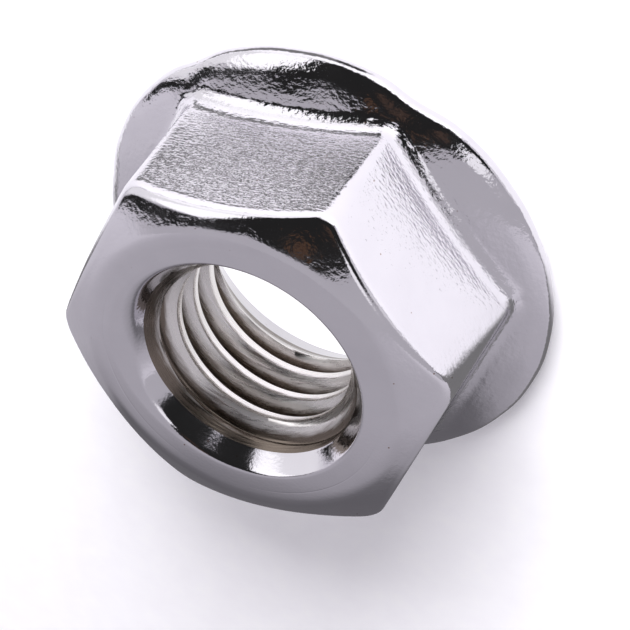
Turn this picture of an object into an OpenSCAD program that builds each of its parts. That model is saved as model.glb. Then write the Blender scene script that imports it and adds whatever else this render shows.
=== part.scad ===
// Hexagon flange nut, size 8 with a 1.25 mm thread pitch, in polished stainless steel.
// It stands on the crests of its serrated bearing face: z = 0 is the bearing plane,
// +Z is the thread axis towards the free end, and two of the six corners lie on the X axis.
// The thread is drawn as its minor diameter.

/* [Thread] */
// Nominal diameter of the thread
thread_d = 8; // [7.4:0.1:8.6]
// Distance from one thread turn to the next
thread_pitch = 1.25; // [1:0.05:1.5]
// Mouth of the countersink in the top face
top_sink_d = 9; // [8.8:0.1:10]
// Mouth of the countersink in the bearing face
bottom_sink_d = 9.6; // [8.8:0.1:10.4]
// Angle across both countersinks
sink_angle = 70; // [60:5:100]

/* [Hexagon] */
// Width across the flats
across_flats = 13; // [12.4:0.1:13.8]
// Whole height, from the bearing plane to the top face
nut_h = 7.7; // [6.8:0.1:9.5]
// Diameter of the flat ring on top, where the chamfer starts
land_d = 11.2; // [10.8:0.1:12]
// Angle of the chamfer below the top face
chamfer_angle = 30; // [20:1:40]
// Radius that softens the edge between the top ring and the chamfer
crown_r = 1.2; // [0.4:0.1:2]
// Depth by which each corner is blunted
corner_blunt = 0.16; // [0.08:0.02:0.3]

/* [Flange] */
// Outer diameter of the flange
flange_d = 17.1; // [16.7:0.1:19]
// Height of the flange's widest line above the bearing plane
rim_z = 0.71; // [0.7:0.01:0.9]
// Radius of the rim above its widest line
rim_top_r = 0.4; // [0.3:0.05:0.5]
// Radius of the rim below its widest line
rim_low_r = 0.3; // [0.2:0.05:0.4]
// Slope of the flange's upper face
flange_slope = 26; // [20:1:30]
// Radius of the shoulder, where the slope turns down towards the rim
shoulder_r = 2; // [1.2:0.1:2.4]
// Slope at which the shoulder gives way to the rim
shoulder_slope = 44; // [38:1:48]
// Slope of the flange's underside, outside the bearing face
under_slope = 45; // [40:1:55]

/* [Fillet between hexagon and flange] */
// Radius of the fillet at the foot of each flat
fillet_r = 1.1; // [0.6:0.1:1.4]
// Slope at which the fillet runs into the flange
fillet_slope = 40; // [36:1:50]
// Radius by which the foot of each flat bows down towards its corners
foot_bow_r = 20; // [16:1:30]

/* [Bearing face] */
// Diameter of the plain recess inside the ring of teeth
recess_d = 11.2; // [10.6:0.1:12.2]
// Depth of that recess
recess_depth = 0.45; // [0.4:0.01:0.6]
// Width by which the wall of the recess slopes in
recess_draft = 0.3; // [0:0.05:0.3]

/* [Serrations] */
// Number of ratchet teeth
tooth_count = 24; // [16:1:30]
// Depth of the teeth at the outer edge of the bearing face
tooth_depth = 0.4; // [0.25:0.01:0.5]
// Width of the narrow flat along each crest
crest_w = 0.2; // [0.1:0.02:0.4]
// Lean of the steep flank, from upright
steep_lean = 12; // [0:1:25]

/* [Hidden] */
$fn = 96;

steel = [0.72, 0.71, 0.73];
arc_steps = 6;
through = 1;

// Thread and countersinks
minor_d = thread_d - 1.0825 * thread_pitch;
sink_half = sink_angle / 2;
top_sink_h = (top_sink_d - minor_d) / 2 / tan(sink_half);
bottom_sink_h = (bottom_sink_d - minor_d) / 2 / tan(sink_half);

// Hexagon
flat_r = across_flats / 2;
corner_r = flat_r / cos(30);
blunt_r = corner_r - corner_blunt;
land_r = land_d / 2;
crown_run = crown_r * tan(chamfer_angle / 2);
chamfer_z = nut_h - (blunt_r - land_r) * tan(chamfer_angle);

// Flange: the upper face, the shoulder, the rim and the underside are tangent to each other
flange_r = flange_d / 2;
rim_centre = [flange_r - rim_top_r, rim_z];
shoulder_centre = rim_centre - (shoulder_r - rim_top_r) * [sin(shoulder_slope), cos(shoulder_slope)];
slope_start = shoulder_centre + shoulder_r * [sin(flange_slope), cos(flange_slope)];
function slope_z(r) = slope_start[1] - (r - slope_start[0]) * tan(flange_slope);
low_centre = [flange_r - rim_low_r, rim_z];
under_start = low_centre + rim_low_r * [sin(under_slope), -cos(under_slope)];

// Fillet: an arc from the flat to its end slope, which dips into the flange just past the arc
fillet_lift = 0.03;
fillet_end_x = flat_r + fillet_r * (1 - sin(fillet_slope));
fillet_end_z = slope_z(fillet_end_x) + fillet_lift;
foot_z = fillet_end_z + fillet_r * cos(fillet_slope);
bow_z = foot_z - foot_bow_r;
skirt_r = flange_r - rim_top_r / 2;

// Serrations
bearing_r = under_start[0] - under_start[1] / tan(under_slope);
tooth_angle = 360 / tooth_count;
ramp_angle = atan(tooth_depth / (bearing_r * sin(tooth_angle) - crest_w));

// Points along an arc, from angle a0 to angle a1
function arc(centre, r, a0, a1) =
    [for (i = [0:arc_steps]) let (a = a0 + (a1 - a0) * i / arc_steps) centre + r * [cos(a), sin(a)]];

// The fillet's section at the middle of a flat: half width of the hexagon against height
function fillet_section() = arc([flat_r + fillet_r, foot_z], fillet_r, 180, 270 - fillet_slope);

// Where the fillets of two neighbouring flats meet, as a radius against height
function mitre_point(p) =
    let (r = p[0] / cos(30), reach = p[1] - bow_z) [r - corner_blunt, bow_z + sqrt(reach ^ 2 - (r / 2) ^ 2)];

// Two opposite flats with the fillets at their feet, turned about an axis far below the nut,
// so that the foot of a flat bows down towards its corners as it does on a sloping flange
module flat_pair() {
    rise = fillet_end_z - rim_z + through;
    side = [
        [nut_h - bow_z + through, flat_r],
        [foot_z - bow_z, flat_r],
        [fillet_end_z - bow_z, fillet_end_x],
        [fillet_end_z - bow_z - rise, fillet_end_x + rise / tan(fillet_slope)],
    ];
    translate([0, 0, bow_z]) rotate([0, 90, 0]) rotate_extrude($fn = 2 * $fn) difference() {
        polygon(concat(side, [for (i = [len(side) - 1:-1:0]) [side[i][0], -side[i][1]]]));
        for (s = [-1, 1]) translate([foot_z - bow_z, s * (flat_r + fillet_r)]) circle(fillet_r);
    }
}

// The turned outline of the hexagon: flat ring, crown, chamfer, blunt corners and their feet
module corner_outline() {
    crown = arc([land_r - crown_run, nut_h - crown_r], crown_r, 90, 90 - chamfer_angle);
    feet = [for (p = fillet_section()) mitre_point(p)];
    rotate_extrude()
        polygon(concat([[0, rim_z], [0, nut_h]], crown, [[blunt_r, chamfer_z]], feet, [[skirt_r, rim_z]]));
}

// The three pairs of opposite flats, cut to the turned outline
module hexagon() {
    intersection() {
        corner_outline();
        rotate([0, 0, 30]) flat_pair();
        rotate([0, 0, 90]) flat_pair();
        rotate([0, 0, 150]) flat_pair();
    }
}

// The round flange, with its sloping upper face, rounded rim and sloping underside
module flange() {
    low = arc(low_centre, rim_low_r, under_slope - 90, 0);
    high = arc(rim_centre, rim_top_r, 0, 90 - shoulder_slope);
    shoulder = arc(shoulder_centre, shoulder_r, 90 - shoulder_slope, 90 - flange_slope);
    rotate_extrude() polygon(concat([[0, 0], [bearing_r, 0]], low, high, shoulder, [[0, slope_z(0)]]));
}

// The bore at the thread's minor diameter, and a countersink from each end
module threaded_hole() {
    translate([0, 0, -through]) cylinder(d = minor_d, h = nut_h + 2 * through);
    translate([0, 0, nut_h]) mirror([0, 0, 1]) sink(top_sink_d, top_sink_h);
    translate([0, 0, recess_depth]) sink(bottom_sink_d, bottom_sink_h);
}

// A countersink that narrows upwards, with a straight run out of its mouth
module sink(mouth_d, h) {
    cylinder(d1 = mouth_d, d2 = minor_d, h = h);
    translate([0, 0, -through]) cylinder(d = mouth_d, h = through);
}

// The plain recess inside the ring of teeth
module recess() {
    cylinder(d1 = recess_d, d2 = recess_d - 2 * recess_draft, h = recess_depth);
    translate([0, 0, -through]) cylinder(d = recess_d, h = through);
}

// One gullet between two crests: the long ramp rises from the next crest, which lies on the X axis,
// and ends at the steep flank of this tooth, so the nut slips when tightened and bites when loosened
module gullet() {
    intersection() {
        rotate([-ramp_angle, 0, 0]) translate([0, -flange_r, -through]) cube([flange_d, flange_r, through]);
        rotate([0, 0, -tooth_angle]) translate([0, crest_w, 0]) rotate([-steep_lean, 0, 0])
            translate([0, 0, -2 * through]) cube([flange_d, flange_r, 4 * through]);
    }
}

module serrations() {
    for (i = [0:tooth_count - 1]) rotate([0, 0, i * tooth_angle]) gullet();
}

module flange_nut() {
    color(steel) difference() {
        union() {
            hexagon();
            flange();
        }
        threaded_hole();
        recess();
        serrations();
    }
}

flange_nut();
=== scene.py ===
"""Serrated flange nut, 8 mm thread, in polished stainless steel, dressed over its CAD frame.

The nut is one closed mesh. Its surface is a grid of two parameters: the angle round the thread
axis, and the way along the section, which goes out over the top ring, down a flat, out over the
flange, in under the serrations and up through the bore. Sizes are in millimetres in the classes
and become metres when the mesh is made.
"""
import logging
from dataclasses import dataclass, fields
from enum import Enum

import bpy
import numpy as np
from bpy.types import ID, Material, Mesh, Node, NodeSocket, NodeTree, Object, World
from mathutils import Matrix


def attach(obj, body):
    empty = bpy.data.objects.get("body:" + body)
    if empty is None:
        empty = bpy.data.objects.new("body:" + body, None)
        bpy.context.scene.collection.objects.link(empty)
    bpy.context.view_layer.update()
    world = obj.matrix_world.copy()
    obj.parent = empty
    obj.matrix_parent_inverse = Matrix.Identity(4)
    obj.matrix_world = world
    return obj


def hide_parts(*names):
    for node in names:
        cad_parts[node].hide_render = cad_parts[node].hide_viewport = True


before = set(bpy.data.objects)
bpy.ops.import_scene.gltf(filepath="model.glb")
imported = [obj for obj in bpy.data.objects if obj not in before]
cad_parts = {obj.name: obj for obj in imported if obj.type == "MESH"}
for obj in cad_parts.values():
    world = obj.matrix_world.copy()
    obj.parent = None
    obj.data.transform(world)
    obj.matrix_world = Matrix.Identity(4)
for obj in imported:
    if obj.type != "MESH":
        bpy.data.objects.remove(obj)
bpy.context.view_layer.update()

LOG = logging.getLogger("flange_nut")
MM = 0.001
TURN = 2 * np.pi
QUARTER = TURN / 4
SIXTH = TURN / 6
TEETH = 24
PITCH = TURN / TEETH
PER_TOOTH = 16
COLUMNS = TEETH * PER_TOOTH
COLUMN_ANGLE = TURN * np.arange(COLUMNS) / COLUMNS
SEARCH_ROUNDS = 8
SHARP_EDGE = np.radians(38)
BLACK = (0.02, 0.02, 0.02)

Array = np.ndarray
Number = float | Array
Pair = tuple[float, float]
Triple = tuple[float, float, float]


class Area(Enum):
    """The two finishes of the nut, by the order of its material slots."""

    POLISHED = 0
    THREAD = 1


@dataclass(frozen=True)
class Rows:
    """How many rows of vertices each zone of the section has, its two ends included."""

    sink: int = 9
    lip: int = 8
    crease: int = 9
    crown: int = 8
    chamfer: int = 10
    edge: int = 9
    face: int = 30
    fillet: int = 10
    join: int = 8
    slope: int = 9
    shoulder: int = 9
    rim: int = 9
    low_rim: int = 7
    under: int = 6
    teeth: int = 11
    wall: int = 4


ROWS = Rows()


@dataclass
class Band:
    """Rows of the surface that share one zone of the section.

    Each array has the shape (rows, COLUMNS): angle in radians, radius and height in mm.
    Ripple is how strongly the forged ripple shows there, from 0 to 1.
    """

    angle: Array
    radius: Array
    height: Array
    ripple: Array


def band(angle: Array, radius: Array, height: Number, ripple: Number = 0.0) -> Band:
    """Makes a band from arrays that broadcast to (rows, COLUMNS).

    Args:
        angle: Angle round the thread axis, in radians.
        radius: Distance from the thread axis, in mm.
        height: Height above the bearing plane, in mm.
        ripple: Strength of the forged ripple.

    Returns:
        The band, with full arrays.
    """
    parts = (angle, radius, height, ripple)
    shape = np.broadcast_shapes((1, COLUMNS), *(np.shape(part) for part in parts))
    return Band(*(np.array(np.broadcast_to(part, shape), dtype=float) for part in parts))


def round_axis(angle: Array, radius: Array, height: Array) -> Array:
    """The points (..., 3) at (radius cos angle, radius sin angle, height)."""
    return np.stack([radius * np.cos(angle), radius * np.sin(angle), height], axis=-1)


def steps(first: float, last: float, count: int) -> Array:
    """Evenly spaced values as a column, so that they run down the rows of a band."""
    return np.linspace(first, last, count)[:, None]


def between(first: Number, last: Number, share: Number) -> Number:
    """The value first + share (last - first)."""
    return first + share * (last - first)


def arc(centre: tuple[Number, Number], size: Number, turn: Number) -> tuple[Array, Array]:
    """Radius and height along an arc: the centre plus size times (sin turn, cos turn)."""
    return centre[0] + size * np.sin(turn), centre[1] + size * np.cos(turn)


def smooth(value: Array) -> Array:
    """The smooth step 3v^2 - 2v^3 of a value held between 0 and 1."""
    held = np.clip(value, 0.0, 1.0)
    return held * held * (3.0 - 2.0 * held)


def fade(value: Array, first: float, last: float) -> Array:
    """Rises smoothly from 0 at first to 1 at last."""
    return smooth((value - first) / (last - first))


@dataclass(frozen=True)
class Bell:
    """A value that peaks softly at one angle: plain + more exp(-(off / width)^2).

    Off is the angle's distance to the middle. Middle and width are in degrees.
    """

    plain: float
    more: float
    middle: float
    width: float

    def at(self, angle: Array) -> Array:
        """The value for each angle, which is in radians."""
        off = (np.degrees(angle) - self.middle + 180) % 360 - 180
        return self.plain + self.more * np.exp(-((off / self.width) ** 2))


@dataclass(frozen=True)
class Waves:
    """Smooth seeded noise: a sum of sines with random directions and phases.

    Each wave is sin(k . p + phase), with |k| = 2 pi / (size times 0.7 to 1.6), and the sum is
    divided by the root of half the count, which brings its spread to about depth. Depth and size,
    which is the length of a typical wave, are in mm.
    """

    depth: float
    size: float
    seed: int
    count: int

    def at(self, points: Array) -> Array:
        """The noise in mm at points (..., 3), also in mm."""
        rng = np.random.default_rng(self.seed)
        direction = rng.normal(size=(self.count, 3))
        direction /= np.linalg.norm(direction, axis=1)[:, None]
        number = TURN / (self.size * rng.uniform(0.7, 1.6, self.count))
        phase = rng.uniform(0, TURN, self.count)
        waves = np.sin(points @ (direction * number[:, None]).T + phase)
        return self.depth * waves.sum(-1) / np.sqrt(self.count / 2)


@dataclass(frozen=True)
class Hexagon:
    """The hexagon with its top ring, chamfer, softened edges and the fillets at its feet.

    Edges is the rounding between the chamfer and the flats, which is larger around one corner.
    Corners is the rounding of each upright corner at its top, from the one on +X on round, and
    low_corner and foot_corner are what it becomes at the foot and in the fillet. The foot of a
    flat bows down about an axis far below. Forged is the strength of the ripple on the flats.
    """

    flat: float = 6.5
    height: float = 7.7
    ring: float = 5.375
    crown: float = 1.2
    crown_turn: float = np.radians(28)
    chamfer_end: float = 7.2
    chamfer_turn: float = np.radians(36)
    edges: Bell = Bell(0.5, 0.25, -55, 32)
    corners: tuple[float, ...] = (0.9, 0.9, 0.9, 1.5, 0.85, 0.95)
    low_corner: float = 0.33
    foot_corner: float = 1.1
    fillet: float = 0.85
    fillet_turn: float = np.radians(50)
    fillet_lift: float = 0.03
    bow: float = 20.0
    dense: float = 0.105
    forged: Bell = Bell(0.4, 0.6, -90, 30)
    chamfer_ripple: float = 0.2
    edge_ripple: float = 0.4
    ripple_turns: Pair = (0.8, 1.6)

    @property
    def angle(self) -> Array:
        """Column angles drawn together at the corners: u - dense sin(6u)."""
        return COLUMN_ANGLE - self.dense * np.sin(6 * COLUMN_ANGLE)

    @property
    def corner(self) -> Array:
        """Rounding of the nearest corner at the top of the flats, for each column."""
        return np.array(self.corners)[np.round(self.angle / SIXTH).astype(int) % 6]

    def foot(self, flange: "Flange") -> float:
        """Height at which the middle of a flat ends and its fillet to the flange starts."""
        end = self.flat + self.fillet * (1 - np.cos(self.fillet_turn))
        return flange.slope(end) + self.fillet_lift + self.fillet * np.sin(self.fillet_turn)

    def outline(self, corner: Number) -> Array:
        """Radius of the hexagon with rounded corners, for each column.

        Away from a corner it is flat / cos(angle from the flat's middle). Within the rounding it
        is the far crossing of the ray with a circle of radius corner, whose centre lies
        (flat - corner) / cos 30 out.

        Args:
            corner: Radius of the rounding, in mm.

        Returns:
            The radius for each column, or (rows, COLUMNS) for a column of corners.
        """
        share = corner / self.flat
        off = np.abs((self.angle + SIXTH / 2) % SIXTH - SIXTH / 2)
        straight = 1 / np.cos(SIXTH / 2 - off)
        centre = (1 - share) / np.cos(SIXTH / 2)
        reach = np.sqrt(np.maximum(share**2 - (centre * np.sin(off)) ** 2, 0))
        tangent = np.arctan2(share / 2, centre + share * np.cos(SIXTH / 2))
        return self.flat * np.where(off < tangent, centre * np.cos(off) + reach, straight)

    def bowed(self, radius: Array, reach: Number) -> Array:
        """Height of the bowed foot above its axis: the root of reach^2 - (radius sin off)^2."""
        return np.sqrt(reach**2 - (radius * np.sin(self.angle % SIXTH - SIXTH / 2)) ** 2)

    def chamfer(self, radius: Array) -> tuple[Array, Array]:
        """Slope and height of the turned chamfer at a radius.

        The tangent of the slope grows in a straight line from the crown's end to chamfer_end, and
        the height is its integral, so the chamfer bulges a little.

        Args:
            radius: Radius, in mm.

        Returns:
            The slope in radians, and the height in mm.
        """
        begin = self.ring + self.crown * np.sin(self.crown_turn)
        first, last = np.tan(self.crown_turn), np.tan(self.chamfer_turn)
        more = (last - first) / (self.chamfer_end - begin) * (radius - begin)
        top = self.height - self.crown * (1 - np.cos(self.crown_turn))
        return np.arctan(first + more), top - (radius - begin) * (first + more / 2)

    def bands(self, flange: "Flange") -> list[Band]:
        """The bands from the start of the crown down to the end of the fillets.

        The edge between the chamfer and a flat is an arc that leaves the chamfer along its slope,
        which a fixed-point search in the starting radius finds for each column.

        Args:
            flange: The flange that the hexagon stands on.

        Returns:
            The crown, the chamfer, the soft edge, the flats and the fillets.
        """
        crown_centre = self.ring, self.height - self.crown
        turn = steps(0, self.crown_turn, ROWS.crown)
        crown = band(self.angle, *arc(crown_centre, self.crown, turn))

        size = self.edges.at(self.angle)
        middle = self.outline(self.corner) - size
        start = middle + size
        for _ in range(SEARCH_ROUNDS):
            start = middle + size * np.sin(self.chamfer(start)[0])
        begin, start_z = self.chamfer(start)
        edge_z = start_z - size * np.cos(begin)
        cone_r = between(crown.radius[-1], start, steps(0, 1, ROWS.chamfer)[1:-1])
        cone = band(self.angle, cone_r, self.chamfer(cone_r)[1], self.chamfer_ripple)
        turn = between(begin, QUARTER, steps(0, 1, ROWS.edge))
        ripple = self.edge_ripple * fade(turn, *self.ripple_turns)
        edge = band(self.angle, *arc((middle, edge_z), size, turn), ripple)

        bow_z = self.foot(flange) - self.bow
        share = steps(0, 1, ROWS.face)[1:-1]
        side = self.outline(between(self.corner, self.low_corner, share))
        foot_z = bow_z + self.bowed(side, self.bow)
        face = band(self.angle, side, between(edge_z, foot_z, share), self.forged.at(self.angle))

        turn = steps(0, self.fillet_turn, ROWS.fillet)
        softer = between(self.low_corner, self.foot_corner, turn / self.fillet_turn)
        wider = 1 + self.fillet * (1 - np.cos(turn)) / self.flat
        radius = wider * self.outline(softer)
        fillet_z = bow_z + self.bowed(radius, self.bow - self.fillet * np.sin(turn))
        return [crown, cone, edge, face, band(self.angle, radius, fillet_z, self.edge_ripple)]


@dataclass(frozen=True)
class Flange:
    """The round flange: sloping upper face, rounded rim, and the dips that its outline has.

    The slope eases by hollow for each mm inwards. The teeth show at the rim as a scallop, and the
    dips draw it in where the blank was short. Both fade out between the two pull radii. Ripples
    is the strength of the ripple on the join, the slope, the shoulder and the rim.
    """

    radius: float = 8.55
    rim_z: float = 0.71
    rim_top: float = 0.4
    rim_low: float = 0.3
    tilt: float = np.radians(26)
    hollow: float = 0.085
    shoulder: float = 2.0
    turn: float = np.radians(44)
    under: float = np.radians(45)
    join: float = 0.35
    join_most: float = 0.9
    turn_over: float = 1.4
    scallop: Pair = (0.012, 0.008)
    dips: tuple[Bell, ...] = (
        Bell(0, 0.12, -62.5, 6), Bell(0, 0.25, -121.5, 8),
        Bell(0, 0.13, -10, 20), Bell(0, 0.05, 60, 22),
    )
    pull: Pair = (7.0, 8.3)
    ripples: tuple[float, float, float, float] = (0.4, 0.3, 0.25, 0.2)

    @property
    def shoulder_centre(self) -> Array:
        """Centre of the shoulder's arc, as radius and height."""
        rim = self.radius - self.rim_top, self.rim_z
        return np.array(arc(rim, self.rim_top - self.shoulder, self.turn))

    @property
    def start(self) -> Array:
        """Radius and height at which the slope meets the shoulder."""
        return np.array(arc(self.shoulder_centre, self.shoulder, self.tilt))

    def slope(self, radius: Number) -> Number:
        """Height of the upper face at a radius: a slope that eases by hollow inwards."""
        run = self.start[0] - radius
        return self.start[1] + run * np.tan(self.tilt) - self.hollow * run**2 / 2

    def fall(self, radius: Number) -> Number:
        """Tangent of the upper face's slope at a radius."""
        return np.tan(self.tilt) - self.hollow * (self.start[0] - radius)

    def bands(self, foot: Band, teeth: "Serrations") -> list[Band]:
        """The bands from the fillets' end out over the slope to the widest line.

        A cubic in the section joins each fillet to the slope: it leaves the fillet along its own
        direction and arrives along the slope, so no edge shows between them. The columns turn
        over smoothly from the hexagon's angles to those of the teeth.

        Args:
            foot: The last band of the hexagon.
            teeth: The serrations, whose columns the rim takes over.

        Returns:
            The join, the slope and the rounded upper rim.
        """
        start_r = self.start[0]
        r0, z0 = foot.radius[-1], foot.height[-1]
        steep = (z0 - foot.height[-2]) / (r0 - foot.radius[-2])
        reach = np.minimum(self.join, self.join_most * (start_r - r0))
        r1 = r0 + reach
        t = steps(0, 1, ROWS.join)[1:]
        leave, arrive = t**3 - 2 * t**2 + t, t**3 - t**2
        join_z = between(z0, self.slope(r1), smooth(t))
        join_z = join_z + reach * (leave * steep - arrive * self.fall(r1))

        counts = ROWS.slope - 2, ROWS.shoulder, ROWS.rim - 1
        turned = smooth(steps(0, self.turn_over, sum(counts) + 1)[1:])
        inner = foot.angle[-1]
        angles = np.split(between(inner, teeth.angle(self.radius), turned), np.cumsum(counts)[:2])
        slope_r = between(r1, start_r, steps(0, 1, ROWS.slope)[1:-1])
        turn = steps(self.tilt, self.turn, ROWS.shoulder)
        shoulder = arc(self.shoulder_centre, self.shoulder, turn)
        turn = steps(self.turn, QUARTER, ROWS.rim)[1:]
        rim = arc((self.radius - self.rim_top, self.rim_z), self.rim_top, turn)
        bands = [
            band(inner, r0 + reach * t, join_z, self.ripples[0]),
            band(angles[0], slope_r, self.slope(slope_r), self.ripples[1]),
            band(angles[1], *shoulder, self.ripples[2]),
            band(angles[2], *rim, self.ripples[3]),
        ]
        for part in bands:
            self.draw_in(part)
        return bands

    def draw_in(self, part: Band) -> None:
        """Draws a band in by the scallop and the dips, fully only outside the pull radii."""
        least, swing = self.scallop
        total = least + swing * (1 + np.cos(TEETH * part.angle))
        for dip in self.dips:
            total += dip.at(part.angle)
        part.radius -= total * fade(part.radius, *self.pull)


@dataclass(frozen=True)
class Serrations:
    """The ring of ratchet teeth on the bearing face, with the recess inside it.

    Each tooth has a flat crest, a steep flank that leans, and a long ramp to the next crest.
    Soft is the width beside each bend that takes a row of columns, so that the bends stay crisp.
    """

    inner: float = 5.6
    outer: float = 7.9642
    depth: float = 0.4
    crest: float = 0.2
    lean: float = np.radians(12)
    soft: float = 0.05
    recess: float = 0.45
    draft: float = 0.3
    rim_ripple: float = 0.2
    face_ripple: float = 0.3

    @property
    def ramp(self) -> float:
        """Tangent of the long flank's angle."""
        return self.depth / (self.outer * np.sin(PITCH) - self.crest)

    def breaks(self, radius: Number) -> tuple[Array, Array]:
        """Angles within one tooth at which its profile bends, besides the crest's near edge.

        The foot is where the leaning flank, crest + d tan(lean) off the radial line, meets the
        next ramp, whose depth d is its distance to the next crest times the tangent of the ramp.

        Args:
            radius: Radius, in mm.

        Returns:
            The angle of the crest's far edge and that of the steep flank's foot.
        """
        land = np.arcsin(self.crest / radius)
        root = land
        for _ in range(SEARCH_ROUNDS):
            deep = radius * np.sin(PITCH - root) * self.ramp
            root = np.arcsin((self.crest + deep * np.tan(self.lean)) / radius)
        return land, root

    def angle(self, radius: Number) -> Array:
        """Column angles that follow the teeth at a radius, from 16 stations in each tooth."""
        radius = np.broadcast_to(radius, (*np.shape(radius)[:-1], COLUMNS))
        land, root = self.breaks(radius)
        edge = self.soft / radius
        steep = [between(land, root, share) for share in np.linspace(0, 1, 4)]
        ramp = [between(root + edge, PITCH - edge, share) for share in np.linspace(0, 1, 9)]
        stations = np.stack([0 * land, edge, land - edge, *steep, *ramp], axis=-1)
        tooth, station = np.divmod(np.arange(COLUMNS), PER_TOOTH)
        station = np.broadcast_to(station, radius.shape)[..., None]
        return np.take_along_axis(stations, station, axis=-1)[..., 0] + PITCH * tooth

    def height(self, angle: Array, radius: Array) -> Array:
        """Height of the toothed face above the bearing plane.

        It is the lesser of the ramp and of the leaning flank's line, and never below zero.

        Args:
            angle: Angle round the axis, in radians.
            radius: Radius, in mm.

        Returns:
            The height in mm.
        """
        within = angle % PITCH
        ramp = radius * np.sin(PITCH - within) * self.ramp
        flank = (radius * np.sin(within) - self.crest) / np.tan(self.lean)
        return np.maximum(np.minimum(ramp, flank), 0.0)

    def bands(self, flange: Flange) -> list[Band]:
        """The bands from the widest line in under the teeth and up the recess wall.

        The rim's lower rounding runs into the cone of the underside. The teeth cut that cone where
        their height equals its own, which a fixed-point search in the radius finds for each
        column, so that the rows run along the cut's edge. The recess wall is met the same way.

        Args:
            flange: The flange that carries the teeth.

        Returns:
            The lower rim, the underside, the toothed face and the recess wall.
        """
        outer, inner = self.angle(flange.radius), self.angle(self.inner)
        low, turn = flange.rim_low, steps(QUARTER, TURN / 2 - flange.under, ROWS.low_rim)[1:]
        rim = band(outer, *arc((flange.radius - low, flange.rim_z), low, turn), self.rim_ripple)
        edge_r, inner_r = np.full(COLUMNS, self.outer), np.full(COLUMNS, self.inner)
        for _ in range(SEARCH_ROUNDS):
            edge_r = self.outer + self.height(outer, edge_r) / np.tan(flange.under)
            inner_r = self.inner - self.draft * self.height(inner, inner_r) / self.recess
        share = steps(0, 1, ROWS.under)[1:]
        edge_z = (edge_r - self.outer) * np.tan(flange.under)
        under_r = between(rim.radius[-1], edge_r, share)
        under = band(outer, under_r, between(rim.height[-1], edge_z, share), self.rim_ripple)
        radius = between(edge_r, inner_r, steps(0, 1, ROWS.teeth)[1:])
        angle = self.angle(radius)
        face = band(angle, radius, self.height(angle, radius), self.face_ripple)
        share = steps(0, 1, ROWS.wall)[1:]
        wall_r = between(inner_r, self.inner - self.draft, share)
        wall = band(angle[-1], wall_r, between(face.height[-1], self.recess, share))
        for part in (rim, under, face):
            flange.draw_in(part)
        return [rim, under, face, wall]


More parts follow.
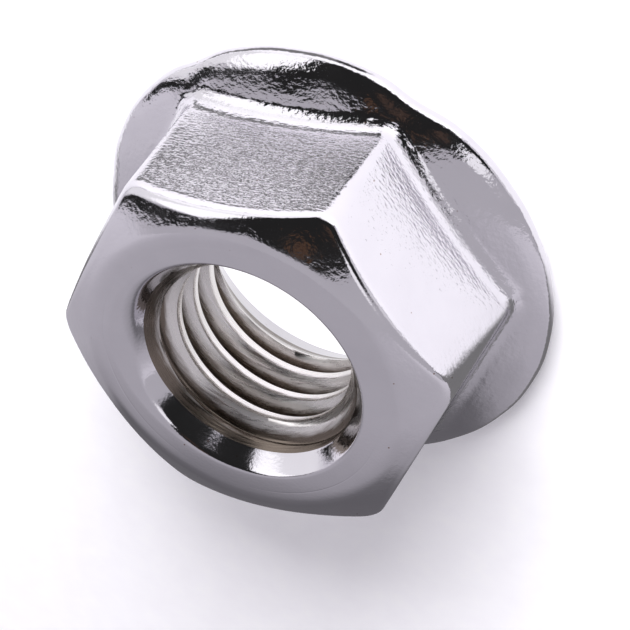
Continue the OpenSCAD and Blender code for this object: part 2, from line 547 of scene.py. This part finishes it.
@dataclass(frozen=True)
class Bore:
    """The two countersinks and the helical thread between them.

    Lips is the rounding of the top mouth, which is soft on one side. Crease is the radius, the
    depth and the width of a fine line round the top ring. Stations are the shares of the pitch at
    which the thread has rows, and phase is where in the pitch it starts.
    """

    major: float = 4.0
    minor: float = 3.3234
    pitch: float = 1.25
    phase: float = 0.3
    flank: Pair = (1 / 16, 3 / 8)
    soft: float = 0.045
    top_mouth: float = 4.5
    top_z: float = 7.7
    low_mouth: float = 4.8
    low_z: float = 0.45
    half: float = np.radians(35)
    lips: Bell = Bell(0.2, 0.75, -8, 48)
    crease: Triple = (5.19, 0.007, 0.02)
    stations: tuple[float, ...] = (
        0.0, 0.035, 0.0625, 0.09, 0.15, 0.21, 0.27, 0.34, 0.375, 0.41,
        0.5, 0.59, 0.625, 0.66, 0.73, 0.79, 0.85, 0.91, 0.9375, 0.965,
    )

    @property
    def ends(self) -> Pair:
        """Heights at which the countersinks narrow to the thread's major radius."""
        low = self.low_z + (self.low_mouth - self.major) / np.tan(self.half)
        return low, self.top_z - (self.top_mouth - self.major) / np.tan(self.half)

    def softened(self, over: Array) -> Array:
        """The value held above zero, with a quadratic arc of half width soft at the bend."""
        arched = (over + self.soft) ** 2 / (4 * self.soft)
        return np.where(np.abs(over) < self.soft, arched, np.maximum(over, 0))

    def profile(self, share: Array) -> Array:
        """Radius of the thread at a share of the pitch, with the root at 0 and the crest at 0.5.

        The flank falls in a straight line from the major to the minor radius between its two
        shares, and both ends of it are softened.

        Args:
            share: Share of the pitch.

        Returns:
            The radius in mm.
        """
        off = np.abs((share + 0.5) % 1 - 0.5)
        first, last = self.flank
        line = between(self.major, self.minor, (off - first) / (last - first))
        deep = self.major - self.minor - self.softened(line - self.minor)
        return self.major - self.softened(deep)

    def helix(self) -> tuple[Array, Array]:
        """Height and radius of the helical rows, as (rows, COLUMNS) arrays.

        A row at t turns has the height low + pitch (t - 1 + angle / turn), so it climbs one pitch
        in a turn and meets the row that starts one turn further up. Its radius is the larger of the
        thread's and the countersinks'. Heights outside the ends are cut off when the mesh is made.

        Returns:
            The heights and the radii.
        """
        low, high = self.ends
        turns = int(np.ceil((high - low) / self.pitch)) + 1
        rows = (np.arange(turns)[:, None] + np.array(self.stations)).ravel()[:, None]
        height = low + self.pitch * (rows - 1 + COLUMN_ANGLE / TURN)
        cone = self.major + np.maximum(height - high, low - height) * np.tan(self.half)
        return height, np.maximum(self.profile(rows + self.phase), cone)

    def above(self, crown: Band) -> list[Band]:
        """The top countersink, its lip and the top ring.

        The lip is an arc tangent to the cone and to the top ring. The crease is pressed in by
        depth exp(-(off / width)^2), and comes and goes three times in a turn.

        Args:
            crown: The first band of the hexagon, which gives the ring's columns and its end.

        Returns:
            The three bands.
        """
        high = self.ends[1]
        ring, inner = crown.angle[0], crown.radius[0, 0]
        size = self.lips.at(COLUMN_ANGLE)
        centre = self.top_mouth + size * np.tan((QUARTER - self.half) / 2), self.top_z - size
        lip_r, lip_z = arc(centre, size, -steps(QUARTER - self.half, 0, ROWS.lip))
        share = steps(0, 1, ROWS.sink)
        cone_r, cone_z = between(self.major, lip_r[0], share), between(high, lip_z[0], share)

        at, deep, wide = self.crease
        near = at + wide * steps(-2, 2, ROWS.crease) + 0 * ring
        before = between(lip_r[-1], near[0], steps(0, 1, 4)[1:-1])
        flat_r = np.concatenate([before, near, between(near[-1:], inner, 0.5)])
        share = (flat_r - lip_r[-1]) / (inner - lip_r[-1])
        angle = between(COLUMN_ANGLE, ring, smooth(share))
        pressed = deep * np.exp(-(((flat_r - at) / wide) ** 2)) * (1 + np.sin(3 * angle + 1)) / 2
        return [
            band(COLUMN_ANGLE, cone_r, cone_z),
            band(COLUMN_ANGLE, lip_r[1:], lip_z[1:]),
            band(angle, flat_r, self.top_z - pressed),
        ]

    def below(self, recess: Band) -> list[Band]:
        """The floor of the recess, and the lower countersink with its crisp mouth.

        Args:
            recess: The recess wall, whose last row starts the floor.

        Returns:
            The two bands.
        """
        share, up = steps(0, 1, ROWS.wall)[1:], steps(0, 1, ROWS.sink)[1:]
        turned = smooth(steps(0, 1, len(share) + len(up) + 1)[1:])
        angles = between(recess.angle[-1], COLUMN_ANGLE, turned)
        floor_r = between(recess.radius[-1], self.low_mouth, share)
        floor = band(angles[: len(share)], floor_r, self.low_z)
        mouth_r = between(self.low_mouth, self.major, up)
        return [floor, band(angles[len(share) :], mouth_r, between(self.low_z, self.ends[0], up))]


@dataclass(frozen=True)
class FlangeNut:
    """The whole nut: gathers its bands, makes the closed mesh and puts the finishes on it.

    Wave is the unevenness that polishing leaves everywhere, and dent the finer one of the forged
    faces. Both fade in between the two heights of rough. They swell the surface by no more than
    swell, which fades out over top_fade below the top ring. Thread rows nearer than margin to an
    end of the bore join its circle.
    """

    hexagon: Hexagon = Hexagon()
    flange: Flange = Flange()
    teeth: Serrations = Serrations()
    bore: Bore = Bore()
    wave: Waves = Waves(0.003, 2.6, 11, 24)
    dent: Waves = Waves(0.0035, 0.8, 12, 40)
    rough: Pair = (0.5, 0.9)
    swell: float = 0.004
    top_fade: float = 0.3
    margin: float = 0.012

    def outside(self) -> Band:
        """Every row but the thread's, from the top countersink round to the lower one."""
        hexagon = self.hexagon.bands(self.flange)
        flange = self.flange.bands(hexagon[-1], self.teeth)
        teeth = self.teeth.bands(self.flange)
        above, below = self.bore.above(hexagon[0]), self.bore.below(teeth[-1])
        parts = [*above, *hexagon, *flange, *teeth, *below]
        names = [entry.name for entry in fields(Band)]
        return Band(*(np.concatenate([getattr(part, name) for part in parts]) for name in names))

    def uneven(self, points: Array, ripple: Array) -> Array:
        """Moves points along the surface's normal by wave + ripple dent.

        The normal is the cross product of the grid's two central differences.

        Args:
            points: Points (rows, COLUMNS, 3) in mm.
            ripple: Strength of the forged ripple (rows, COLUMNS).

        Returns:
            The moved points.
        """
        across = np.roll(points, -1, axis=1) - np.roll(points, 1, axis=1)
        normal = np.cross(np.gradient(points, axis=0), across)
        normal /= np.maximum(np.linalg.norm(normal, axis=-1, keepdims=True), 1e-9)
        push = self.wave.at(points) + ripple * self.dent.at(points)
        height, top = points[..., 2], self.hexagon.height
        most = self.swell * fade(height, top, top - self.top_fade)
        return points + normal * (np.minimum(push, most) * fade(height, *self.rough))[..., None]

    def mesh(self) -> tuple[Mesh, dict[str, Array]]:
        """Makes the closed mesh of the nut.

        The rows outside the thread close on themselves at the last column. The helical rows close
        one turn higher, and where they pass an end of the bore they share its circle's vertices.

        Returns:
            The mesh, and by name what each vertex carries: the ripple, and the crest, which is 0 at
            the thread's major radius and 1 at its minor one.
        """
        skin = self.outside()
        points = self.uneven(round_axis(skin.angle, skin.radius, skin.height), skin.ripple)
        ids = np.arange(skin.angle.size).reshape(skin.angle.shape)
        outer = grid_faces(ids, np.roll(ids, -1, axis=1))

        height, radius = self.bore.helix()
        low, high = self.bore.ends
        inside = (height > low + self.margin) & (height < high - self.margin)
        spiral = np.where(height <= low + self.margin, ids[-1], ids[0])
        spiral[inside] = ids.size + np.arange(inside.sum())
        turn = len(self.bore.stations)
        here = np.concatenate([spiral, ids[:1]])
        closing = np.append(spiral[turn:, 0], np.full(turn + 1, ids[0, 0]))
        inner = grid_faces(here, np.column_stack([here[:, 1:], closing]))

        thread = round_axis(COLUMN_ANGLE, radius, height)[inside]
        vertices = np.concatenate([points.reshape(-1, 3), thread]) * MM
        area = np.repeat([Area.POLISHED.value, Area.THREAD.value], [len(outer), len(inner)])
        mesh = closed_mesh("flange_nut_surface", vertices, np.concatenate([outer, inner]), area)
        ripple = skin.ripple.ravel()
        crest = (self.bore.major - radius[inside]) / (self.bore.major - self.bore.minor)
        return mesh, {
            "ripple": np.concatenate([ripple, np.zeros_like(crest)]),
            "crest": np.concatenate([np.zeros_like(ripple), np.clip(crest, 0, 1)]),
        }

    def build(self, finishes: list[Material]) -> Object:
        """Makes the nut's object, dressed and tied to the frame.

        Args:
            finishes: The materials, in the order of Area.

        Returns:
            The nut.
        """
        mesh, carried = self.mesh()
        for finish in finishes:
            mesh.materials.append(finish)
        for name, values in carried.items():
            layer = mesh.attributes.new(name, "FLOAT", "POINT")
            layer.data.foreach_set("value", values.astype(np.float32))
        nut = put_up("nut", mesh)
        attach(nut, "root")
        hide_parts("flange_nut")
        return nut


def grid_faces(here: Array, beside: Array) -> Array:
    """Faces (n, 4) of a grid, facing out, from its vertex numbers here and one column on."""
    return np.stack([here[:-1], here[1:], beside[1:], beside[:-1]], axis=-1).reshape(-1, 4)


def closed_mesh(name: str, vertices: Array, quads: Array, area: Array) -> Mesh:
    """Makes a mesh from quads, of which some have corners that coincide.

    A quad with one pair of equal neighbours becomes a triangle, and one with more vanishes.

    Args:
        name: Name of the mesh.
        vertices: Points (n, 3) in metres.
        quads: Vertex numbers (m, 4).
        area: Material slot of each quad.

    Returns:
        The mesh, smooth but for its sharp edges.
    """
    same = quads == np.roll(quads, -1, axis=1)
    whole, one = same.sum(axis=1) == 0, same.sum(axis=1) == 1
    thirds = quads[one][~same[one]].reshape(-1, 3)
    spread = (thirds != np.roll(thirds, -1, axis=1)).all(axis=1)
    mesh = bpy.data.meshes.new(name)
    mesh.from_pydata(vertices.tolist(), [], quads[whole].tolist() + thirds[spread].tolist())
    slots = np.concatenate([area[whole], area[one][spread]]).astype(np.int32)
    mesh.polygons.foreach_set("material_index", slots)
    mesh.polygons.foreach_set("use_smooth", np.ones(len(slots), dtype=bool))
    mesh.set_sharp_from_angle(angle=SHARP_EDGE)
    mesh.update()
    return mesh


def sheet(name: str, half: float, ends: Pair, height: float, paper: Material) -> Mesh:
    """Makes a mesh of one face that lies flat.

    Args:
        name: Name of the mesh.
        half: Half its width along x, in mm.
        ends: Where it starts and ends along y, in mm.
        height: Its z, in mm.
        paper: Its material.

    Returns:
        The mesh.
    """
    corners = [(x * MM, y * MM, height * MM) for y in ends for x in (-half, half)]
    mesh = bpy.data.meshes.new(name)
    mesh.from_pydata(corners, [], [(0, 1, 3, 2)])
    mesh.materials.append(paper)
    return mesh


def pose(right: Triple, up: Triple, back: Triple, place: Triple) -> Matrix:
    """The matrix with the axes right, up and back, at a place in metres."""
    return Matrix([*np.array([right, up, back, place]).T.tolist(), [0, 0, 0, 1]])


def put_up(name: str, data: ID, at: Matrix | None = None) -> Object:
    """Makes an object from its data, poses it and links it to the scene."""
    item = bpy.data.objects.new(name, data)
    item.matrix_world = at or Matrix()
    bpy.context.scene.collection.objects.link(item)
    return item


def towards(azimuth: float, elevation: float) -> Triple:
    """Unit vector from the nut at an azimuth from +X and an elevation, both in degrees."""
    a, e = np.radians(azimuth), np.radians(elevation)
    return float(np.cos(e) * np.cos(a)), float(np.cos(e) * np.sin(a)), float(np.sin(e))


def linear(colour: str) -> tuple[float, float, float, float]:
    """Turns an sRGB hex colour such as "#aabbcc" into linear red, green, blue and alpha."""
    parts = [int(colour[i : i + 2], 16) / 255 for i in (1, 3, 5)]
    return (*(c / 12.92 if c <= 0.04045 else ((c + 0.055) / 1.055) ** 2.4 for c in parts), 1.0)


def cells(size_mm: float) -> float:
    """Scale at which a texture's cells are this large."""
    return 1 / (size_mm * MM)


def span(source: Pair, target: Pair = (0.0, 1.0), unit: float = 1.0) -> dict[str, float]:
    """Inputs of a map range from a source, counted in a unit, to a target."""
    ends = source[0] * unit, source[1] * unit, *target
    return dict(zip(("From Min", "From Max", "To Min", "To Max"), ends))


# Settings of nodes, and the numbers of a mix node's inputs when it mixes colours.
SMOOTH = {"interpolation_type": "SMOOTHSTEP"}
COLOURS = {"data_type": "RGBA"}
SHARE, FIRST, SECOND = 0, 6, 7


def plug(tree: NodeTree, node: Node, inputs: dict | tuple) -> None:
    """Sets or links a node's inputs.

    Args:
        tree: The node tree.
        node: The node.
        inputs: Values, output sockets, or nodes whose first enabled output is meant. They come by
            input name or number, or as a tuple in the order of the inputs.
    """
    for key, value in inputs.items() if isinstance(inputs, dict) else enumerate(inputs):
        if isinstance(value, Node):
            value = next(socket for socket in value.outputs if socket.enabled)
        if isinstance(value, NodeSocket):
            tree.links.new(value, node.inputs[key])
        else:
            node.inputs[key].default_value = value


def add(tree: NodeTree, kind: str, inputs: dict | tuple = (), **settings: str) -> Node:
    """Adds one node with its settings and inputs.

    Args:
        tree: The node tree.
        kind: The node's type without its prefix, such as "Bump".
        inputs: Its inputs, as plug takes them.
        settings: Properties of the node.

    Returns:
        The node.
    """
    node = tree.nodes.new("ShaderNode" + kind)
    for name, value in settings.items():
        setattr(node, name, value)
    plug(tree, node, inputs)
    return node


def new_material(name: str) -> tuple[Material, NodeTree, Node]:
    """Makes a material, and gives it with its node tree and its shader."""
    material = bpy.data.materials.new(name)
    material.use_nodes = True
    tree = material.node_tree
    return material, tree, tree.nodes["Principled BSDF"]


@dataclass(frozen=True)
class PolishedSteel:
    """Stainless steel, cold forged and barrel polished.

    It mirrors the room through a soft haze. Forging leaves a fine ripple on the flats, polishing a
    faint grain, and a few pits stay brown.
    """

    name: str = "stainless_steel_barrel_polished"
    pale: str = "#dedce0"
    deep: str = "#d4d2d7"
    rust: str = "#8a6a55"
    roughness: Pair = (0.05, 0.12)
    haze_mm: float = 1.4
    haze_range: Pair = (0.3, 0.7)
    ripple_mm: Pair = (0.24, 0.11)
    ripple_depth_mm: float = 0.045
    grain_mm: float = 0.11
    grain_depth_mm: float = 0.003
    details: Triple = (4.0, 2.5, 2.0)
    pit_mm: float = 0.8
    pit_edge: Pair = (0.026, 0.045)

    def build(self) -> Material:
        """Makes the material: one noise each for haze, ripple and grain, and cells for pits."""
        material, tree, shader = new_material(self.name)
        where = add(tree, "TexCoord").outputs["Object"]
        wide, long = cells(self.ripple_mm[0]), cells(self.ripple_mm[1])
        drawn = add(tree, "Mapping", {"Vector": where, "Scale": (wide, wide, long)})
        haze = {"Vector": where, "Scale": cells(self.haze_mm), "Detail": self.details[0]}
        haze = add(tree, "TexNoise", haze)
        ripple = add(tree, "TexNoise", {"Vector": drawn, "Scale": 1.0, "Detail": self.details[1]})
        grain = {"Vector": where, "Scale": cells(self.grain_mm), "Detail": self.details[2]}
        grain = add(tree, "TexNoise", grain)
        pits = add(tree, "TexVoronoi", {"Vector": where, "Scale": cells(self.pit_mm)})
        pit = add(tree, "MapRange", {"Value": pits, **span(self.pit_edge)})
        steel = {SHARE: haze, FIRST: linear(self.deep), SECOND: linear(self.pale)}
        tint = add(tree, "Mix", steel, **COLOURS)
        pitted = {SHARE: pit, FIRST: linear(self.rust), SECOND: tint}
        rough = {"Value": haze, **span(self.haze_range, self.roughness)}
        amount = add(tree, "Attribute", attribute_name="ripple").outputs["Fac"]
        depth = self.ripple_depth_mm * MM
        forged = add(tree, "Bump", {"Height": ripple, "Strength": amount, "Distance": depth})
        depth = self.grain_depth_mm * MM
        plug(tree, shader, {
            "Base Color": add(tree, "Mix", pitted, **COLOURS),
            "Metallic": 1.0,
            "Roughness": add(tree, "MapRange", rough),
            "Normal": add(tree, "Bump", {"Height": grain, "Distance": depth, "Normal": forged}),
        })
        return material


@dataclass(frozen=True)
class CutThread:
    """Stainless steel of the tapped thread: fine turning lines along it, and browner towards the
    thread's roots.

    The colour goes from brown to bright over the two crest shares of turn, shaken by the lines.
    """

    name: str = "stainless_steel_tapped"
    bright: str = "#f4f1ee"
    brown: str = "#7a7067"
    turn: Pair = (0.3, 0.62)
    shake: float = 0.5
    roughness: Pair = (0.2, 0.34)
    line_range: Pair = (0.3, 0.7)
    line_mm: float = 0.06
    line_depth_mm: float = 0.006
    drawn: Triple = (0.06, 0.06, 1.0)
    detail: float = 3.0

    def build(self) -> Material:
        """Makes the material: noise drawn out round the axis gives the turning lines."""
        material, tree, shader = new_material(self.name)
        where = add(tree, "TexCoord").outputs["Object"]
        drawn = add(tree, "Mapping", {"Vector": where, "Scale": self.drawn})
        scale = cells(self.line_mm)
        lines = add(tree, "TexNoise", {"Vector": drawn, "Scale": scale, "Detail": self.detail})
        crest = add(tree, "Attribute", attribute_name="crest").outputs["Fac"]
        shaken = add(tree, "Math", (lines, self.shake, crest), operation="MULTIPLY_ADD")
        turn = self.turn[0] + self.shake / 2, self.turn[1] + self.shake / 2
        bright_share = add(tree, "MapRange", {"Value": shaken, **span(turn)})
        tint = {SHARE: bright_share, FIRST: linear(self.brown), SECOND: linear(self.bright)}
        rough = {"Value": lines, **span(self.line_range, self.roughness)}
        depth = self.line_depth_mm * MM
        plug(tree, shader, {
            "Base Color": add(tree, "Mix", tint, **COLOURS),
            "Metallic": 1.0,
            "Roughness": add(tree, "MapRange", rough),
            "Normal": add(tree, "Bump", {"Height": lines, "Distance": depth}),
        })
        return material


@dataclass(frozen=True)
class Viewpoint:
    """The camera, where a fit to the photograph puts it, rolled as it is there."""

    lens: float = 182.2165
    near: float = 0.001
    place_mm: Triple = (-45.4842, -65.781, 79.1877)
    right: Triple = (-0.89915136, 0.12891158, -0.41822079)
    up: Triple = (0.16320707, -0.78792146, -0.5937535)
    back: Triple = (-0.40606683, -0.60213087, 0.68742137)

    def build(self) -> Object:
        """Sets up the camera."""
        lens = bpy.data.cameras.new("camera")
        lens.lens, lens.clip_start = self.lens, self.near
        place = np.array(self.place_mm) * MM
        camera = put_up("camera", lens, pose(self.right, self.up, self.back, place))
        bpy.context.scene.camera = camera
        return camera


@dataclass(frozen=True)
class Floor:
    """The floor, which lies just under the crests of the serrations.

    It is pale paper that glows a little for the camera, by seen, and in reflections, by mirrored,
    so that it comes out white and still takes the nut's shadow. Under the bore it glows fully.
    Reflections find painted shade on it, standing for the nut's shadow and darker surroundings:
    grey on a rectangle in front of the nut and everywhere behind it, glowing by shade_glow there,
    and black on the rectangle past seam. Painted_shade holds the rectangle's sides x0, x1, y0 and
    y1.
    """

    pale: str = "#f4f3f6"
    deep: str = "#ebe9ee"
    half: float = 400
    height: float = -0.02
    blotch_mm: float = 1.1
    detail: float = 3.0
    roughness: float = 0.9
    seen: float = 0.12
    mirrored: float = 0.06
    # Painted shade that only reflections find: its glow, its grey rectangle and soft edge, its
    # colour, its black side and the shaded part behind the nut.
    shade_glow: float = 0.1
    painted_shade: tuple[float, float, float, float] = (-3.1, 12, -13.3, -9.25)
    shade_soft: float = 0.3
    shade_colour: Triple = (0.1, 0.099, 0.097)
    seam: Pair = (-1.35, -1.55)
    behind: Pair = (-1, 3)
    bore: Pair = (8, 6.5)

    def build(self) -> Object:
        """Lays the floor with its paper."""
        material, tree, shader = new_material("paper_sweep_matt")
        where = add(tree, "TexCoord").outputs["Object"]
        sides = add(tree, "SeparateXYZ", (where,)).outputs
        rays = add(tree, "LightPath").outputs
        camera, glossy = rays["Is Camera Ray"], rays["Is Glossy Ray"]
        blotch = {"Vector": where, "Scale": cells(self.blotch_mm), "Detail": self.detail}
        tint = {FIRST: linear(self.deep), SECOND: linear(self.pale)}
        tint[SHARE] = add(tree, "TexNoise", blotch)
        paper = add(tree, "Mix", tint, **COLOURS)

        # Painted shade for reflections: grey on the rectangle and behind the nut, black past the
        # rectangle's black side.
        x0, x1, y0, y1 = (MM * edge for edge in self.painted_shade)
        middle, half_shade = ((x0 + x1) / 2, (y0 + y1) / 2, 0), ((x1 - x0) / 2, (y1 - y0) / 2, 0)
        off = add(tree, "VectorMath", (where, middle), operation="SUBTRACT")
        off = add(tree, "VectorMath", (off,), operation="ABSOLUTE")
        off = add(tree, "VectorMath", (off, half_shade), operation="SUBTRACT")
        past = add(tree, "SeparateXYZ", (off,)).outputs
        most = add(tree, "Math", (past["X"], past["Y"]), operation="MAXIMUM")
        away = add(tree, "VectorMath", (where,), operation="LENGTH")
        inside, seam, behind, under = (
            add(tree, "MapRange", {"Value": value, **span(ends, unit=MM)}, **SMOOTH)
            for value, ends in (
                (most, (self.shade_soft, -self.shade_soft)),
                (sides["X"], self.seam),
                (sides["Y"], self.behind),
                (away, self.bore),
            )
        )
        seam = add(tree, "Math", (seam, inside), operation="MULTIPLY")
        shade_mask = add(tree, "Math", (inside, behind), operation="MAXIMUM")
        painted_shade = add(tree, "Math", (shade_mask, glossy), operation="MULTIPLY")
        grey = {SHARE: seam, FIRST: (*self.shade_colour, 1), SECOND: (*BLACK, 1)}
        mixed = {SHARE: painted_shade, FIRST: paper, SECOND: add(tree, "Mix", grey, **COLOURS)}

        # On the painted shade, reflections see a little more glow on the grey part and none on the
        # black side.
        glow = {"Value": painted_shade, "To Min": self.mirrored, "To Max": self.shade_glow}
        glow = {"Value": seam, "To Min": add(tree, "MapRange", glow), "To Max": 0.0}
        glow = add(tree, "Math", (add(tree, "MapRange", glow), glossy), operation="MULTIPLY")
        straight = add(tree, "Math", (camera, self.seen), operation="MULTIPLY")
        glow = add(tree, "Math", (glow, straight), operation="MAXIMUM")
        shown = add(tree, "Math", (camera, glossy), operation="MAXIMUM")
        lit = add(tree, "Math", (under, shown), operation="MULTIPLY")
        plug(tree, shader, {
            "Base Color": add(tree, "Mix", mixed, **COLOURS),
            "Roughness": self.roughness,
            "Emission Color": paper,
            "Emission Strength": add(tree, "Math", (glow, lit), operation="MAXIMUM"),
        })
        mesh = sheet("floor", self.half, (-self.half, self.half), self.height, material)
        floor = put_up("floor", mesh)
        return floor


@dataclass(frozen=True)
class LeaningPaper:
    """A paper that leans on the nut and that only reflections find.

    It stands where the floor is in the photograph, in which the nut lies on its side, touching
    the flange's rim and a corner. Its light falls off towards the nut, as the shadow there does:
    a ramp of the distance from the nut's footprint, with the way up counted to 5 mm only. Fall_off
    holds pairs of that distance and the light's strength. Lengths are in mm, angles in degrees.
    """

    azimuth: float = 80
    lean: float = 14
    distance: float = 8.85
    half: float = 60
    tall: float = 32
    foot_half: float = 6
    foot_top: float = 8
    rise: float = 5
    fall_off: tuple[Pair, ...] = (
        (0, 0.15), (0.8, 0.18), (2.2, 0.38), (5.5, 0.52), (10, 0.56), (20, 0.72), (40, 0.8),
    )
    tint: Triple = (1, 0.96, 1.05)

    def build(self) -> Object:
        """Leans the paper on the nut."""
        material, tree, _ = new_material("paper_in_the_nuts_shadow")
        tree.nodes.clear()
        where = add(tree, "SeparateXYZ", (add(tree, "TexCoord").outputs["Object"],)).outputs
        aside = add(tree, "Math", (where["X"],), operation="ABSOLUTE")
        aside = add(tree, "Math", (aside, self.foot_half * MM), operation="SUBTRACT")
        aside = add(tree, "Math", (aside, 0.0), operation="MAXIMUM")
        rise = span((self.foot_top, self.foot_top + self.rise), (0, self.rise * MM), MM)
        above = add(tree, "MapRange", {"Value": where["Y"], **rise})
        gone = add(tree, "CombineXYZ", (aside, above))
        gone = add(tree, "VectorMath", (gone,), operation="LENGTH")
        reach = self.fall_off[-1][0]
        ramp = add(tree, "ValToRGB", (add(tree, "Math", (gone, reach * MM), operation="DIVIDE"),))
        stops = ramp.color_ramp.elements
        while len(stops) < len(self.fall_off):
            stops.new(1.0)
        for stop, (at, level) in zip(stops, self.fall_off):
            stop.position, stop.color = at / reach, (*(level * part for part in self.tint), 1)
        light = add(tree, "Emission", {"Color": ramp})
        add(tree, "OutputMaterial", {"Surface": light})

        side, up = towards(self.azimuth - 90, 0), towards(self.azimuth + 180, 90 - self.lean)
        foot = np.array(towards(self.azimuth, 0)) * self.distance * MM
        mesh = sheet("leaning_paper", self.half, (0, self.tall), 0, material)
        paper = put_up("leaning_paper", mesh, pose(side, up, np.cross(side, up), foot))
        paper.visible_camera = paper.visible_diffuse = False
        paper.visible_shadow = paper.visible_transmission = False
        return paper


@dataclass(frozen=True)
class Patch:
    """A round soft-edged area of the room, such as a soft box or a black card.

    Azimuth and elevation are its middle's, and it fades out between two angles from there, all in
    degrees. Colour is linear.
    """

    azimuth: float
    elevation: float
    inner: float
    outer: float
    colour: Triple

    def over(self, tree: NodeTree, direction: NodeSocket, below: Node | tuple) -> Node:
        """Paints the patch over a colour.

        The mask is a smooth step of the dot product of the direction and the patch's own, between
        the cosines of the outer and the inner angle.

        Args:
            tree: The world's node tree.
            direction: The direction looked in.
            below: The colour so far.

        Returns:
            The node that gives the colour with the patch on it.
        """
        own = towards(self.azimuth, self.elevation)
        near = add(tree, "VectorMath", (direction, own), operation="DOT_PRODUCT")
        edges = np.cos(np.radians([self.outer, self.inner])).tolist()
        mask = add(tree, "MapRange", {"Value": near, **span(edges)}, **SMOOTH)
        painted = {SHARE: mask, FIRST: below, SECOND: (*self.colour, 1)}
        return add(tree, "Mix", painted, **COLOURS)


@dataclass(frozen=True)
class Room:
    """The room: white for the camera, and for the rest a grey tent with soft boxes and black cards.

    The gap is a black band between the boxes, of discs at an azimuth and an elevation and with a
    radius, all in degrees.
    """

    sky: Triple = (0.55, 0.53, 0.575)
    white: Triple = (1, 1, 1)
    patches: tuple[Patch, ...] = (
        Patch(10, 5, 18, 42, (0.78, 0.75, 0.82)),
        Patch(318, 8, 22, 34, (1.05, 1.03, 1.07)),
        Patch(243, 2, 18, 26, (1.6, 1.58, 1.62)),
        Patch(278, 4, 14, 20, (1.4, 1.38, 1.42)),
        Patch(290, -2, 18, 24, (1.4, 1.38, 1.42)),
        Patch(306, 38, 17, 22, (1.5, 1.48, 1.52)),
        Patch(206, 50, 9, 14, (1.15, 1.13, 1.18)),
        Patch(202, 2, 15, 21, (0.85, 0.83, 0.88)),
        Patch(262, 55, 26.5, 29, BLACK),
        Patch(230, 36, 15, 17, BLACK),
        Patch(211, 27, 12, 17, BLACK),
        Patch(273, 33, 15, 17, BLACK),
        Patch(262, 75, 1, 5, (0.1, 0.055, 0.035)),
        Patch(236, 58, 2, 7, (0.07, 0.045, 0.035)),
    )
    gap: tuple[Triple, ...] = (
        (357, 11, 4.5), (353, 18, 4.5), (349, 25, 4.5), (347, 32, 4.5), (345, 39, 4),
        (342, 45, 3.5), (339, 51, 3.5), (335, 56, 4), (329, 60, 5), (321, 61, 6), (313, 57, 6),
    )
    gap_soft: float = 1.5

    def build(self) -> World:
        """Makes the world of the scene."""
        world = bpy.data.worlds.new("room")
        bpy.context.scene.world = world
        world.use_nodes = True
        tree = world.node_tree
        tree.nodes.clear()
        direction = add(tree, "TexCoord").outputs["Generated"]
        discs = (Patch(a, e, r, r + self.gap_soft, BLACK) for a, e, r in self.gap)
        shade = (*self.sky, 1)
        for patch in (*self.patches, *discs):
            shade = patch.over(tree, direction, shade)
        camera = add(tree, "LightPath").outputs["Is Camera Ray"]
        seen = {SHARE: camera, FIRST: shade, SECOND: (*self.white, 1)}
        light = add(tree, "Background", {"Color": add(tree, "Mix", seen, **COLOURS)})
        add(tree, "OutputWorld", {"Surface": light})
        return world


@dataclass(frozen=True)
class SoftBox:
    """A square lamp that faces the nut and that reflections don't find.

    Angles are in degrees, lengths in metres, and a strength of 1 would mirror as white.
    """

    name: str = "key_softbox"
    azimuth: float = 256
    elevation: float = 26
    width: float = 0.08
    distance: float = 0.15
    strength: float = 31.0

    def build(self) -> Object:
        """Hangs the lamp."""
        light = bpy.data.lights.new(self.name, "AREA")
        light.size = self.width
        light.energy = self.strength * np.pi**2 * self.width**2 / 4
        back = np.array(towards(self.azimuth, self.elevation))
        right = towards(self.azimuth + 90, 0)
        at = pose(right, np.cross(back, right), back, back * self.distance)
        lamp = put_up(self.name, light, at)
        lamp.visible_glossy = False
        return lamp


def main() -> None:
    """Builds the surroundings and the nut."""
    logging.basicConfig(level=logging.INFO, format="%(name)s: %(message)s")
    for piece in (Viewpoint(), Floor(), LeaningPaper(), Room(), SoftBox()):
        LOG.info("%s: made as %s", type(piece).__name__, piece.build().name)
    bpy.context.scene.view_settings.view_transform = "Standard"
    nut = FlangeNut().build([PolishedSteel().build(), CutThread().build()])
    LOG.info("%s: %d vertices, %d faces", nut.name, len(nut.data.vertices), len(nut.data.polygons))


if __name__ == "__main__":
    main()
